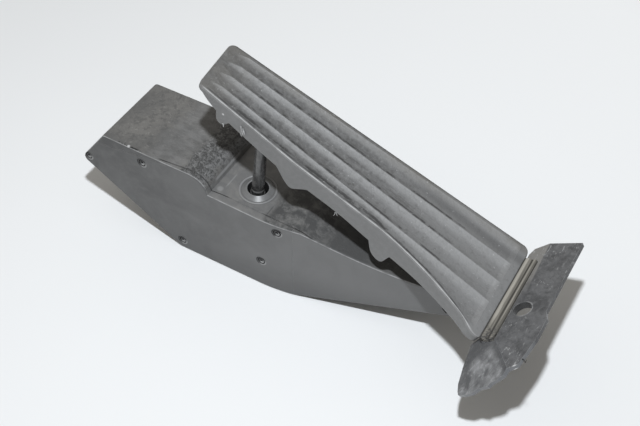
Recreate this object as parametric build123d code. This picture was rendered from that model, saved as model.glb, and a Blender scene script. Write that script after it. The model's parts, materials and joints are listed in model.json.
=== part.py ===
from build123d import *
import os
from math import cos, hypot, radians, sin, tan

# Floor-hinged accelerator pedal. A fluted pedal, hinged at its heel, pushes a rod through the deck of a
# boat-shaped housing onto a sprung lever, whose angle a sensor board reads.
# Millimetres. X runs along the pedal towards its heel, Y across it, Z up.
# The origin is under the middle of the housing's width, on the flat belly that it rests on.

# Housing, side outline
housing_width = 56.0
wall = 2.5
belly_left = -42.0
belly_right = 40.0
tail_x = -113.6
tail_low_z = 45.0
tail_round = 4.0
deck_left = -91.5
upper_deck_z = 74.0
step_start = -30.0
step_end = -15.5
lower_deck_z = 62.4
deck_end_x = 46.0
deck_end_z = 60.0
nose_mid = (94.6, 47.0)
nose_x = 146.0
nose_top_z = 41.6
nose_rise = 13.6
deck_fall = (1, -0.31)
nose_level = (1, -0.07)
step_top = (1, 0)
step_foot = (0.25, -1)
edge_round = 1.2
corner_round = 3.0
belly_round = 10.0

# Housing, plan outline
tail_taper = 1.0
taper_start = 28.0
near_taper = 10.0
far_taper = 3.0
plan_past = 1.0
side_bend = 120.0
cavity_right = 104.0
nose_slot_place = (133.5, 28.0)
nose_slot_turn = -55.0
nose_slot_long = 5.0
nose_slot_wide = 1.6
nose_slot_deep = 1.2

# Side cover and its screws, places in X and Z
cover_right = 41.0
cover_thick = 3.2
cover_gap = 0.1
seam_left = (-49.0, 1.6)
seam_right = (-7.5, 5.2)
lip_right = -44.0
lip_slope = 8.5
lip_step = 0.8
screw_places = [(-107.6, 48.6), (-63.3, 64.8), (-39.8, 7.4), (19.9, 23.0), (31.6, 54.6)]
screw_head_r = 2.5
screw_head_deep = 1.2
screw_shank_r = 1.3
screw_long = 12.0
screw_play = 0.1
screw_sunk = 0.2
pillar_r = 3.4

# Hinge and pedal plate; the pedal's own axes are along it, across it and square to it
pedal_angle = 23.5
pedal_y = 0.5
hinge_x = 161.6
hinge_z = 54.7
knuckle_r = 2.2
plate_end = 1.6
pedal_long = 204.6
top_slant = 2.8
pedal_near = 19.8
pedal_near_top = 16.4
narrow_start = 135.0
flare_start = 80.0
flare_mid = (27.3, 27.6)
flare_low = (8.0, 34.6)
flare_end = (0.9, 37.3)
pedal_far_low = 33.8
pedal_far_top = 21.0
top_corner = 4.2
low_corner = 2.0
plate_thick = 3.6
plate_round = 0.6
skirt_wall = 1.8
far_skirt = 10.0
corner_wall = 28.0
# Lower edge of the near skirt and of what hangs from it, from the top down: distance from hinge, and depth
near_skirt = [(200.5, 1.0), (196.5, 4.4), (191.0, 7.2), (173.0, 10.6), (156.0, 12.0), (115.0, 12.4),
              (90.0, 13.0), (79.0, 14.4), (57.0, 13.4), (35.0, 10.8), (14.0, 9.2), (5.0, 7.2), (-0.4, 5.4)]
top_lobe = [(186.2, 8.0), (184.6, 13.0), (182.4, 15.6), (179.8, 15.4), (177.6, 12.6), (175.6, 9.5)]
stop_lobe = [(147.0, 10.0), (139.3, 14.0), (135.2, 17.1), (131.3, 19.7), (128.2, 20.5), (125.3, 18.4),
             (121.5, 14.2), (116.5, 11.0)]
low_lobe = [(76.6, 13.5), (73.1, 19.0), (69.9, 22.5), (66.4, 23.8), (63.6, 23.2), (62.0, 19.3), (60.0, 12.5)]
rim = 2.2
flute_mid = -1.5
flute_low = 15.2
flute_top = 9.2
flute_hollow = 0.12
flute_deepest = 1.9
flute_start = 3.8
flute_low_runout = 3.0
flute_end = 198.0
flute_end_share = 0.16
flute_end_in = 0.25
flute_runout = 7.0
ridge_flat = 0.3
rib_thick = 1.6
rib_deep = 5.5
rib_start = 45.0
rib_pitch = 32.0
rib_count = 5
rib_half_gap = 10.0

# Push rod and its foot
rod_lean = 6.5
rod_y = -8.0
foot_x = 6.3
foot_z = 55.5
foot_r = 4.4
foot_rim = 3.6
foot_dish = 0.8
rod_low_r = 4.0
rod_top_r = 3.3
spigot_r = 2.5
spigot_deep = 3.0
rod_boss_r = 6.2
rod_boss_deep = 9.0
rod_socket_deep = 5.0

# Rod grommet in the deck
grommet_x = 7.5
grommet_y = -8.6
grommet_hole_r = 6.4
grommet_tube_r = 7.8
grommet_flange_r = 11.6
grommet_bead = 0.9
grommet_groove_r = 10.4
grommet_groove = 0.4
grommet_collar = 2.3
grommet_lip = 0.6
grommet_deep = 5.5
grommet_play = 0.1

# Throttle lever
pivot_x = -58.0
pivot_z = 40.0
hub_r = 10.0
hub_near = -18.0
hub_far = 5.5
arm_wide = 9.0
arm_root = 8.0
arm_tip = 4.0
pad_angle = 24.5
pad_gap = 0.35
pad_back = 4.5
pad_front = 7.0
spigot_hub_r = 7.0
spigot_hub_long = 1.6
pin_r = 4.0
pin_end = 0.5
pin_play = 0.05
bush_r = 5.5
bush_long = 6.5
boss_r = 8.5
bush_gap = 1.2
washer_thick = 0.7
washer_r = 7.5

# Springs
spring_x = -24.0
seat_r = 12.0
seat_thick = 2.0
seat_stub_r = 3.2
seat_stub = 5.0
spring_play = 0.3
outer_coil_r = 8.6
outer_wire_r = 1.0
outer_turns = 6
inner_coil_r = 5.4
inner_wire_r = 0.75
inner_turns = 8
cap_r = 11.0
cap_thick = 3.0
spring_top_z = 34.0

# Idle stop under the deck
stop_x = -8.0
stop_r = 4.0
stop_gap = 0.3

# Angle sensor
rotor_r = 14.0
rotor_slot_r = 10.5
rotor_slots = 3
board_gap = 2.4
board_thick = 1.6
board_left = -95.0
board_right = -38.0
board_low = 28.0
board_step = -73.0
board_mid = 41.0
board_top = 59.0
board_posts = [(-92.0, 55.5), (-42.5, 55.5), (-42.5, 31.5)]
post_r = 3.0
board_hole_play = 0.3
board_screw_r = 1.2
board_screw_head_r = 2.4
board_screw_head = 1.6
board_screw_long = 7.0
chip_size = (7.0, 5.0, 1.3)
chip_x = -82.0
chip_places_z = [46.0, 53.0]

# Plug socket on the far side, with its pins
socket_x = -81.0
socket_z = 47.5
socket_wide = 28.0
socket_high = 15.0
socket_out = 12.5
socket_wall = 1.8
socket_deep = 11.5
pin_count = 6
pin_pitch = 3.6
pin_side = 0.9
socket_corner = 3.0
pin_out = 8.0

# Heel plate, its own axes are along its slope and across it
heel_angle = 30.0
heel_x = 164.9
heel_z = 55.65
heel_thick = 2.6
strip_deep = 1.5
strip_edge = 7.2
strip_near = -36.5
strip_far = 25.5
strip_first = (2.2, 2.2)
strip_dip = (5.0, 0.8)
strip_second = (6.2, 1.5)
strip_open = 15.0
strip_groove = 0.7
hinge_play = 0.35
heel_out = 28.9
heel_bulge = 31.5
heel_bulge_y = (-32.0, -18.0)
heel_far = 41.3
heel_shoulder = (8.9, 40.5)
heel_neck = (1.4, 35.6)
heel_neck_low = 31.0
fold_low = (6.7, -35.0)
fold_high = (23.8, -55.0)
heel_corner = (28.9, -51.0)
wing_tip = (164.7, -62.0, 38.0)
wing_thick = 2.4
wing_lap = 0.8
# Worn edge of the wing: along the fold from its low end, and away from it
wing_edge = [(28.0, 3.0), (27.0, 7.0), (25.0, 12.0), (25.2, 14.2), (21.0, 19.6), (19.4, 25.0), (15.6, 30.0),
             (12.6, 33.0), (10.0, 32.6), (5.7, 30.6), (-1.7, 23.9), (-10.4, 14.0), (-8.6, 7.0), (-4.0, 1.0)]
bolt_hole_r = 5.3
bolt_along = 14.3
bolt_y = -12.2
bolt_boss_r = 8.0
bolt_deep = 4.6

# Heel plate's leg and its screws on the nose
leg_near = -9.0
leg_far = 14.0
shoe_left = 118.0
shoe_thick = 3.4
shoe_fall = 2.6
leg_low_x = 150.0
leg_lap = 0.5
leg_drop = 1.0
leg_slant = 2.0
heel_screw_places = [(125.0, 2.5), (139.0, 2.5)]
heel_screw_r = 2.0
heel_screw_head_r = 4.2
heel_screw_head = 2.4
heel_screw_long = 14.0
heel_screw_sunk = 0.6

FOOT = (Align.CENTER, Align.CENTER, Align.MIN)
HEAD = (Align.CENTER, Align.CENTER, Align.MAX)
EDGE = (Align.CENTER, Align.MIN, Align.MIN)
half_width = housing_width / 2
pedal_frame = Plane(
    origin=(hinge_x, pedal_y, hinge_z),
    x_dir=(-cos(radians(pedal_angle)), 0, sin(radians(pedal_angle))),
    z_dir=(sin(radians(pedal_angle)), 0, cos(radians(pedal_angle))),
)
heel_frame = Plane(
    origin=(heel_x, 0, heel_z),
    x_dir=(cos(radians(heel_angle)), 0, sin(radians(heel_angle))),
    z_dir=(-sin(radians(heel_angle)), 0, cos(radians(heel_angle))),
)
rod_frame = Plane(
    origin=(foot_x, rod_y, foot_z),
    x_dir=(cos(radians(rod_lean)), 0, -sin(radians(rod_lean))),
    z_dir=(sin(radians(rod_lean)), 0, cos(radians(rod_lean))),
)


def slab(sketch, y_from, y_to):
    """Extrude a sketch drawn in X and Z from one Y to another."""
    return extrude(Plane.XZ.offset(-y_to) * sketch, amount=y_to - y_from)


def rod_y_way(radius, x, z, y_from, y_to):
    """Round bar along Y."""
    return slab(Pos(x, z) * Circle(radius), y_from, y_to)


def polygon(points):
    """Flat face with the given corners."""
    return make_face(Polyline(*points, close=True))


def nose_low_z(x):
    """Height of the housing's rising underside at x."""
    return (x - belly_right) * tan(radians(nose_rise))


def near_y(x):
    """Y of the housing's near side at x."""
    return -half_width + max(0, x - taper_start) * tan(radians(near_taper))


def deck_z(x):
    """Height of the lower deck at x."""
    return lower_deck_z + (deck_end_z - lower_deck_z) * (x - step_end) / (deck_end_x - step_end)


def rod_reach():
    """Distance up the rod from the foot's centre to the underside of the pedal plate."""
    a = radians(pedal_angle)
    lean = radians(rod_lean)
    under = knuckle_r - plate_thick
    offset_x = (foot_x - hinge_x) * sin(a)
    offset_z = (foot_z - hinge_z) * cos(a)
    return (under - offset_x - offset_z) / (sin(lean) * sin(a) + cos(lean) * cos(a))


def side_outline():
    """Housing seen from the side, drawn in X and Z."""
    face = make_face([
        Polyline((step_start, upper_deck_z), (deck_left, upper_deck_z), (tail_x, tail_low_z), (belly_left, 0),
                 (belly_right, 0), (nose_x, nose_low_z(nose_x)), (nose_x, nose_top_z)),
        Spline((deck_end_x, deck_end_z), nose_mid, (nose_x, nose_top_z), tangents=(deck_fall, nose_level)),
        Line((step_end, lower_deck_z), (deck_end_x, deck_end_z)),
        Spline((step_start, upper_deck_z), (step_end, lower_deck_z), tangents=(step_top, step_foot)),
    ])
    face = fillet(face.vertices().sort_by(Axis.X)[0], tail_round)
    for corner, radius in (((deck_left, upper_deck_z), corner_round), ((belly_right, 0), belly_round)):
        face = fillet(face.vertices().sort_by_distance(corner)[0], radius)
    return face


def plan_outline():
    """Housing seen from above, drawn in X and Y."""
    tail = tail_x - plan_past
    nose = nose_x + plan_past
    nose_far = half_width - (nose_x - taper_start) * tan(radians(far_taper))
    face = polygon([
        (tail, -half_width + tail_taper), (belly_left, -half_width), (taper_start, -half_width),
        (nose, near_y(nose)), (nose, nose_far), (taper_start, half_width), (tail, half_width),
    ])
    bends = face.vertices().filter_by_position(Axis.X, taper_start - plan_past, taper_start + plan_past)
    return fillet(bends, side_bend)


def cover_zone(gap=0.0):
    """Part of the plan that belongs to the side cover, drawn in X and Y."""
    out = housing_width
    right = cover_right + gap
    return polygon([
        (tail_x - wall, -out), (right, -out), (right, seam_right[1] - half_width + gap),
        (seam_right[0], seam_right[1] - half_width + gap), (seam_left[0], seam_left[1] - half_width + gap),
        (tail_x - wall, tail_taper + cover_thick - half_width + gap),
    ])


def lip_zone(gap=0.0):
    """Top of the near side at the tail, above a sloping line, which is the shell's; drawn in X and Z."""
    left = tail_x - wall
    right = lip_right - gap
    low = upper_deck_z - lip_step + gap
    fall = (right - left) * tan(radians(lip_slope))
    over = upper_deck_z + wall
    return polygon([(right, low), (right, over), (left, over), (left, low - fall)])


def cover_space(gap=0.0):
    """Space of the side cover, below the shell's lip."""
    return extrude(cover_zone(gap), amount=upper_deck_z) - slab(lip_zone(gap), -housing_width, 0)


def hull():
    """Solid outer form of the closed housing, with rounded side edges."""
    body = slab(side_outline(), -half_width, half_width) & extrude(plan_outline(), amount=upper_deck_z)
    along = [e for e in body.edges() if abs(e.tangent_at(0.5).Y) < 0.5]
    rims = [e for e in along if abs(e.tangent_at(0.5).Z) < 0.999 or e.center().X > cavity_right]
    return fillet(rims, edge_round)


def inset_corners(corners):
    """Corners of a polygon, drawn anticlockwise, moved in by the wall."""
    count = len(corners)
    sides = [Vector(corners[(i + 1) % count]) - Vector(corners[i]) for i in range(count)]
    moved = []
    for i in range(count):
        before = sides[i - 1].normalized()
        after = sides[i].normalized()
        turn = before.cross(after).Z
        moved.append(Vector(corners[i]) + (after - before) * (wall / turn))
    return moved


def cavity():
    """Space inside the housing, open towards the side cover."""
    inner = polygon(inset_corners([
        (step_start, upper_deck_z), (deck_left, upper_deck_z), (tail_x, tail_low_z), (belly_left, 0),
        (belly_right, 0), (cavity_right, nose_low_z(cavity_right)), (cavity_right, nose_mid[1]), nose_mid,
        (deck_end_x, deck_end_z), (step_end, lower_deck_z),
    ]))
    open_end = cover_right - wall
    far = half_width - wall
    far_right = far - (cavity_right - taper_start) * tan(radians(far_taper))
    plan = polygon([
        (tail_x, -housing_width), (open_end, -housing_width), (open_end, near_y(open_end) + wall),
        (cavity_right, near_y(cavity_right) + wall), (cavity_right, far_right), (taper_start, far),
        (tail_x, far),
    ])
    return slab(inner, -half_width, half_width) & extrude(plan, amount=upper_deck_z)


def seam_y(x):
    """Y of the side cover's inner face at x."""
    if x >= seam_right[0]:
        return seam_right[1] - half_width
    left = (tail_x - wall, tail_taper + cover_thick) if x < seam_left[0] else seam_left
    right = seam_left if x < seam_left[0] else seam_right
    share = (x - left[0]) / (right[0] - left[0])
    return left[1] + (right[1] - left[1]) * share - half_width


def socket_box(margin, y_from, y_to):
    """Rounded box of the plug socket, its outside or its space inside."""
    face = Pos(socket_x, socket_z) * RectangleRounded(socket_wide - 2 * margin, socket_high - 2 * margin,
                                                      socket_corner - margin)
    return slab(face, y_from, y_to)


def pin_bars(side, y_from, y_to):
    """Row of square bars at the socket's pins."""
    bars = []
    for i in range(pin_count):
        x = socket_x + (i - (pin_count - 1) / 2) * pin_pitch
        bars.append(slab(Pos(x, socket_z) * Rectangle(side, side), y_from, y_to))
    return bars


def screw_y(x):
    """Y of the head face of a cover screw at x, just below the cover's outside."""
    return near_side_y(x) + screw_sunk


def near_side_y(x):
    """Y of the housing's near side at x, with the taper towards the tail."""
    if x < belly_left:
        return -half_width + tail_taper * (belly_left - x) / (belly_left - tail_x + plan_past)
    return near_y(x)


def deck_frame():
    """Frame on the deck at the rod's hole."""
    slope = (deck_end_z - lower_deck_z) / (deck_end_x - step_end)
    return Plane(origin=(grommet_x, grommet_y, deck_z(grommet_x)), x_dir=(1, 0, slope), z_dir=(-slope, 0, 1))


def board_y():
    """Y of the sensor board's near face."""
    return hub_far + spigot_hub_long + board_gap


def housing_shell(outer):
    far_wall = half_width - wall
    shell = outer - cavity()
    for x, z in screw_places:
        shell += rod_y_way(pillar_r, x, z, -half_width, far_wall + wall / 2) & outer
    shell += slab(lip_zone(cover_gap), -half_width, tail_taper + cover_thick - half_width) & outer
    shell -= cover_space(cover_gap)
    for x, z in board_posts:
        shell += rod_y_way(post_r, x, z, board_y() + board_thick, far_wall + wall / 2)
    boss_near = hub_far + spigot_hub_long + bush_gap
    shell += rod_y_way(boss_r, pivot_x, pivot_z, boss_near, far_wall + wall / 2)
    shell -= rod_y_way(bush_r, pivot_x, pivot_z, boss_near - wall, boss_near + bush_long)
    shell -= rod_y_way(pin_r + bush_gap, pivot_x, pivot_z, boss_near, boss_near + bush_long + wall)
    shell += socket_box(0, far_wall + wall / 2, half_width + socket_out)
    shell -= socket_box(socket_wall, half_width + socket_out - socket_deep, half_width + socket_out + wall)
    for bar in pin_bars(pin_side + 2 * pin_play, far_wall - wall, half_width + socket_out):
        shell -= bar
    for x, z in screw_places:
        shell -= rod_y_way(screw_shank_r, x, z, -half_width, screw_y(x) + screw_long + screw_play)
    for x, z in board_posts:
        shell -= rod_y_way(board_screw_r, x, z, board_y(), board_y() + board_screw_long + screw_play)
    for x, y in heel_screw_places:
        hole = Cylinder(heel_screw_r, heel_screw_long + screw_play, align=HEAD)
        shell -= Pos(x, y, heel_screw_seat(x)) * hole
    tube = Pos(0, 0, -wall) * Cylinder(grommet_tube_r + grommet_play, 4 * wall)
    shell -= deck_frame().location * tube
    slot = Pos(*nose_slot_place) * Rot(0, 0, nose_slot_turn) * SlotOverall(nose_slot_long, nose_slot_wide)
    slot_y = near_y(nose_slot_place[0])
    return shell - slab(slot, slot_y - wall, slot_y + nose_slot_deep)


def side_cover(outer):
    cover = outer & cover_space()
    inner = hub_near - bush_gap
    boss = rod_y_way(boss_r, pivot_x, pivot_z, seam_y(pivot_x) - cover_gap, inner)
    cover = cover + boss - rod_y_way(bush_r, pivot_x, pivot_z, inner - bush_long, inner)
    for x, z in screw_places:
        head = screw_y(x)
        cover -= rod_y_way(screw_head_r + screw_play, x, z, head - wall, head + screw_head_deep)
        cover -= rod_y_way(screw_shank_r + screw_play, x, z, head, head + screw_long)
    return cover


def cover_screws():
    screws = []
    for x, z in screw_places:
        head = screw_y(x)
        screw = rod_y_way(screw_head_r, x, z, head, head + screw_head_deep)
        screw += rod_y_way(screw_shank_r, x, z, head + screw_head_deep, head + screw_long)
        drive = slab(Pos(x, z) * RegularPolygon(screw_head_r / 2, 6), head - wall, head + screw_head_deep / 2)
        screws.append(screw - drive)
    return screws


def rod_grommet():
    profile = polygon([
        (grommet_hole_r, -grommet_deep), (grommet_tube_r, -grommet_deep), (grommet_tube_r, 0),
        (grommet_flange_r, 0), (grommet_flange_r, grommet_bead / 2),
        (grommet_flange_r - grommet_bead / 2, grommet_bead), (grommet_groove_r, grommet_groove),
        (grommet_groove_r - grommet_bead / 2, grommet_groove), (grommet_hole_r + grommet_lip, grommet_collar),
        (grommet_hole_r, grommet_collar - grommet_lip),
    ])
    return deck_frame().location * revolve(Plane.XZ * profile, Axis.Z)


def pedal_outline(inset=0.0):
    """Pedal seen square to its top face: along it from the hinge, and across it towards the near side."""
    near = pedal_near - inset
    far_low = inset - pedal_far_low
    far_top = inset - pedal_far_top
    top = pedal_long - inset
    start = inset - plate_end
    bends = [(s, across - inset) for s, across in (flare_mid, flare_low)]
    low = (flare_end[0] + inset, flare_end[1] - inset)
    face = make_face([
        Spline((flare_start, near), *bends, low, tangents=((-1, 0), (-1, 0))),
        Polyline(low, (start, low[1]), (start, far_low), (top, far_top),
                 (top - top_slant, pedal_near_top - inset), (narrow_start, near), (flare_start, near)),
    ])
    face = fillet(face.vertices().sort_by(Axis.X)[-2:], top_corner - inset)
    low_far = face.vertices().sort_by_distance((start, far_low))[0]
    face = fillet(low_far, top_corner - inset)
    low_near = face.vertices().sort_by_distance((start, low[1]))[0]
    return fillet(low_near, low_corner - inset)


def lobe(points):
    """Part of the near skirt that hangs below its edge, drawn along the pedal and square to it."""
    start = (points[0][0], knuckle_r)
    end = (points[-1][0], knuckle_r)
    hang = [(s, knuckle_r - deep) for s, deep in points]
    return make_face([Spline(*hang), Polyline(hang[-1], end, start, hang[0])])


def near_skirt_face():
    """Near skirt seen from the side, with its two lobes and the stop between them."""
    edge = [(s, knuckle_r - deep) for s, deep in near_skirt]
    first, last = edge[0], edge[-1]
    face = make_face([
        Spline(*edge),
        Polyline(last, (-plate_end, last[1]), (-plate_end, knuckle_r), (first[0], knuckle_r), first),
    ])
    return face + lobe(top_lobe) + lobe(stop_lobe) + lobe(low_lobe)


def flute_width(s):
    """Width of a flute at a distance s from the hinge."""
    return flute_low + (flute_top - flute_low) * s / pedal_long


def near_rim(s):
    """Distance of the near rim from the pedal's middle line at s."""
    if s >= narrow_start:
        share = (s - narrow_start) / (pedal_long - top_slant - narrow_start)
        return pedal_near - rim + (pedal_near_top - pedal_near) * share
    bend = max(0, flare_start - s) / (flare_start - flare_mid[0])
    return pedal_near - rim + (flare_mid[1] - pedal_near) * bend ** 2


def far_rim(s):
    """Distance of the far rim from the pedal's middle line at s, on the negative side."""
    return rim - pedal_far_low + (pedal_far_low - pedal_far_top) * s / pedal_long


def ridge(s, place):
    """Distance of a ridge from the pedal's middle line at s; place is -1, 0 or 1."""
    return flute_mid + place * flute_width(s)


def flute_section(s, low, high, deep):
    """Cross-section of a flute, a shallow arc below the pedal's top face."""
    top = knuckle_r
    middle = (low + high) / 2
    face = make_face([
        ThreePointArc((low, top), (middle, top - deep), (high, top)),
        Polyline((high, top), (high, top + plate_thick), (low, top + plate_thick), (low, top)),
    ])
    return Plane(origin=(s, 0, 0), x_dir=(0, 1, 0), z_dir=(1, 0, 0)) * face


def flute(edges):
    """Tapered hollow along the pedal between two ridges; edges gives both ridges at a distance s."""
    stations = [flute_start, flute_start + flute_low_runout, flare_mid[0], flare_start, narrow_start,
                flute_end - flute_runout, flute_end]
    sections = []
    for s in stations:
        low, high = edges(s)
        low += ridge_flat / 2
        high -= ridge_flat / 2
        deep = min(flute_deepest, flute_hollow * (high - low))
        if s == flute_end:
            inward = flute_end_in * (high - low)
            low += inward
            high -= inward
        if s in (flute_start, flute_end):
            deep *= flute_end_share
        sections.append(flute_section(s, low, high, deep))
    return loft(sections, ruled=True)


def pedal_plate():
    outline = pedal_outline()
    under = knuckle_r - plate_thick
    plate = extrude(Pos(0, 0, under) * outline, amount=plate_thick)
    plate = fillet(plate.faces().sort_by(Axis.Z)[-1].outer_wire().edges(), plate_round)
    knuckle = Rot(90, 0, 0) * Cylinder(knuckle_r, flare_end[1] + pedal_far_low - 2 * top_corner)
    plate += Pos(0, (flare_end[1] - pedal_far_low) / 2, 0) * knuckle
    deepest = max(deep for s, deep in low_lobe)
    ring = outline - pedal_outline(skirt_wall)
    ring = extrude(Pos(0, 0, under + plate_thick / 3) * ring, amount=-2 * deepest)
    near = slab(near_skirt_face(), pedal_near / 2, housing_width)
    far_face = polygon([
        (-plate_end, under), (-plate_end, knuckle_r - far_skirt),
        (pedal_long - 2 * far_skirt, knuckle_r - far_skirt), (pedal_long - top_corner, under),
    ])
    far = slab(far_face, -housing_width, -pedal_far_top / 2)
    end_wall = Box(2 * (plate_end + skirt_wall), 4 * pedal_far_low, 4 * deepest)
    end_wall = Pos(0, corner_wall - 2 * pedal_far_low, under - 2 * deepest) * end_wall
    skirts = (ring & near) + (ring & far) - end_wall
    plate += skirts
    plate += pedal_ribs(under)
    plate -= flute(lambda s: (far_rim(s), ridge(s, -1)))
    plate -= flute(lambda s: (ridge(s, -1), ridge(s, 0)))
    plate -= flute(lambda s: (ridge(s, 0), ridge(s, 1)))
    plate -= flute(lambda s: (ridge(s, 1), near_rim(s)))
    plate = pedal_frame.location * plate
    reach = rod_reach()
    boss = Cylinder(rod_boss_r, rod_boss_deep + plate_thick / 3, align=FOOT)
    plate += rod_frame.location * Pos(0, 0, reach - rod_boss_deep) * boss
    socket = Pos(0, 0, reach - rod_boss_deep) * Cylinder(spigot_r + pin_play, 2 * rod_socket_deep)
    return plate - rod_frame.location * socket


def pedal_ribs(under):
    """Stiffening ribs under the pedal plate."""
    space = extrude(Pos(0, 0, under) * pedal_outline(skirt_wall / 2), amount=-rib_deep)
    run = rib_pitch * (rib_count - 1)
    ribs = Pos(rib_start + run / 2, rib_half_gap, under) * Box(run, rib_thick, 2 * rib_deep)
    ribs += Pos(rib_start + run / 2, -rib_half_gap, under) * Box(run, rib_thick, 2 * rib_deep)
    for i in range(rib_count):
        ribs += Pos(rib_start + i * rib_pitch, 0, under) * Box(rib_thick, 4 * pedal_near, 2 * rib_deep)
    return ribs & space


def push_rod():
    low = foot_rim - foot_dish
    top = rod_reach() - rod_boss_deep
    rod = Pos(0, 0, low) * Cone(rod_low_r, rod_top_r, top - low, align=FOOT)
    rod += Pos(0, 0, low - spigot_deep) * Cylinder(spigot_r, spigot_deep, align=FOOT)
    rod += Pos(0, 0, top) * Cylinder(spigot_r, rod_socket_deep, align=FOOT)
    return rod_frame.location * rod


def rod_foot():
    low = foot_rim - foot_dish
    foot = Sphere(foot_r) + Cylinder(foot_r, foot_rim, align=FOOT)
    foot -= Pos(0, 0, foot_rim) * Box(4 * foot_r, 4 * foot_r, 4 * foot_r, align=FOOT)
    foot -= Pos(0, 0, low) * Cylinder(rod_low_r + pin_play, foot_r, align=FOOT)
    foot -= Pos(0, 0, low - spigot_deep) * Cylinder(spigot_r + pin_play, foot_r, align=FOOT)
    return rod_frame.location * foot


def lever_points():
    """Corners of the lever's arm in X and Z: the pad under the rod's foot, and the root at the hub."""
    along = Vector(cos(radians(pad_angle)), sin(radians(pad_angle)))
    up = Vector(-along.Y, along.X)
    touch = Vector(foot_x, foot_z) - up * (foot_r + pad_gap)
    back = touch - along * pad_back
    front = touch + along * pad_front
    tip = front - up * arm_tip
    return [(pivot_x, pivot_z + arm_root), (back.X, back.Y), (front.X, front.Y), (tip.X, tip.Y),
            (pivot_x, pivot_z - arm_root)]


def arm_top_z(x):
    """Height of the top edge of the lever's arm at x."""
    root, back = lever_points()[:2]
    return root[1] + (back[1] - root[1]) * (x - root[0]) / (back[0] - root[0])


def throttle_lever():
    lever = rod_y_way(hub_r, pivot_x, pivot_z, hub_near, hub_far)
    lever += rod_y_way(spigot_hub_r, pivot_x, pivot_z, hub_far, hub_far + spigot_hub_long)
    lever += slab(polygon(lever_points()), rod_y - arm_wide / 2, rod_y + arm_wide / 2)
    post_top = arm_top_z(spring_x) - arm_tip
    cap = Pos(spring_x, rod_y, spring_top_z) * Cylinder(cap_r, cap_thick, align=FOOT)
    cap += Pos(spring_x, rod_y, spring_top_z) * Cylinder(arm_wide / 2, post_top - spring_top_z, align=FOOT)
    lever += cap
    return lever - rod_y_way(pin_r, pivot_x, pivot_z, hub_near, hub_far + spigot_hub_long)


def pivot_pin():
    near = hub_near - bush_gap - bush_long + pin_end
    far = hub_far + spigot_hub_long + bush_gap + bush_long - pin_end
    return rod_y_way(pin_r, pivot_x, pivot_z, near, far)


def bush(y_from):
    ring = Circle(bush_r) - Circle(pin_r + pin_play)
    return slab(Pos(pivot_x, pivot_z) * ring, y_from, y_from + bush_long)


def friction_washer():
    ring = Circle(washer_r) - Circle(pin_r + pin_play)
    middle = hub_near - bush_gap / 2
    return slab(Pos(pivot_x, pivot_z) * ring, middle - washer_thick / 2, middle + washer_thick / 2)


def spring_seat():
    seat = Cylinder(seat_r, seat_thick, align=FOOT)
    seat += Cylinder(seat_stub_r, seat_thick + seat_stub, align=FOOT)
    return Pos(spring_x, rod_y, wall) * seat


def coil(coil_r, wire_r, turns):
    """Return spring between the seat on the floor and the lever's cap."""
    low = wall + seat_thick + spring_play + wire_r
    high = spring_top_z - spring_play - wire_r
    path = Pos(spring_x, rod_y, low) * Helix((high - low) / turns, high - low, coil_r)
    section = Plane(origin=path @ 0, z_dir=path % 0) * Circle(wire_r)
    return sweep(section, path=path, is_frenet=True)


def idle_stop():
    low = arm_top_z(stop_x + stop_r) + stop_gap
    top = deck_z(stop_x + stop_r) - wall - pin_play
    return Pos(stop_x, rod_y, low) * Cylinder(stop_r, top - low, align=FOOT)


def sensor_rotor():
    ring = Circle(rotor_r) - Circle(spigot_hub_r)
    for i in range(rotor_slots):
        gap = Pos((rotor_r + rotor_slot_r) / 2, 0) * Rectangle(2 * (rotor_r - rotor_slot_r), rotor_r)
        ring -= Rot(0, 0, i * 360 / rotor_slots) * gap
    ring += Circle(rotor_slot_r) - Circle(spigot_hub_r)
    return slab(Pos(pivot_x, pivot_z) * ring, hub_far, hub_far + spigot_hub_long)


def sensor_board():
    face = polygon([
        (board_left, board_mid), (board_step, board_mid), (board_step, board_low), (board_right, board_low),
        (board_right, board_top), (board_left, board_top),
    ])
    face -= Pos(pivot_x, pivot_z) * Circle(boss_r + board_hole_play)
    for x, z in board_posts:
        face -= Pos(x, z) * Circle(board_screw_r + screw_play)
    return slab(face, board_y(), board_y() + board_thick)


def sensor_chips():
    wide, high, thick = chip_size
    chips = []
    for z in chip_places_z:
        chips.append(slab(Pos(chip_x, z) * Rectangle(wide, high), board_y() - thick, board_y()))
    return chips


def board_screws():
    screws = []
    for x, z in board_posts:
        screw = rod_y_way(board_screw_head_r, x, z, board_y() - board_screw_head, board_y())
        screws.append(screw + rod_y_way(board_screw_r, x, z, board_y(), board_y() + board_screw_long))
    return screws


def connector_pins():
    return pin_bars(pin_side, board_y() + board_thick, half_width + socket_out - socket_deep + pin_out)


def heel_point(along, across, up=0.0):
    """Point of the heel plate's frame in the part's frame."""
    return heel_frame.from_local_coords(Vector(along, across, up))


def heel_outline():
    """Flat part of the heel plate seen square to its top face: along its slope, and across it."""
    lip = hinge_gap_edge()
    return polygon([
        (lip, strip_near), fold_low, fold_high, heel_corner, (heel_bulge, heel_bulge_y[0]),
        (heel_bulge, heel_bulge_y[1]), (heel_out, heel_bulge_y[1] + (heel_bulge - heel_out) * 2),
        (heel_out, heel_far), heel_shoulder, heel_neck, (lip, heel_neck_low),
    ])


def hinge_gap_edge():
    """Distance along the heel plate at which it begins, just past the pedal's knuckle."""
    axis = heel_frame.to_local_coords(Vector(hinge_x, 0, hinge_z))
    return axis.X + hypot(knuckle_r, plate_end) + hinge_play


def wing():
    """Folded-down near end of the heel plate, with its worn edge."""
    low = heel_point(*fold_low)
    high = heel_point(*fold_high)
    frame = Plane(origin=low, x_dir=high - low, z_dir=(high - low).cross(Vector(*wing_tip) - low))
    long = (high - low).length
    face = polygon([(0, -wing_lap), (long, -wing_lap)] + wing_edge)
    return frame.location * extrude(face, amount=wing_thick)


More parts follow.
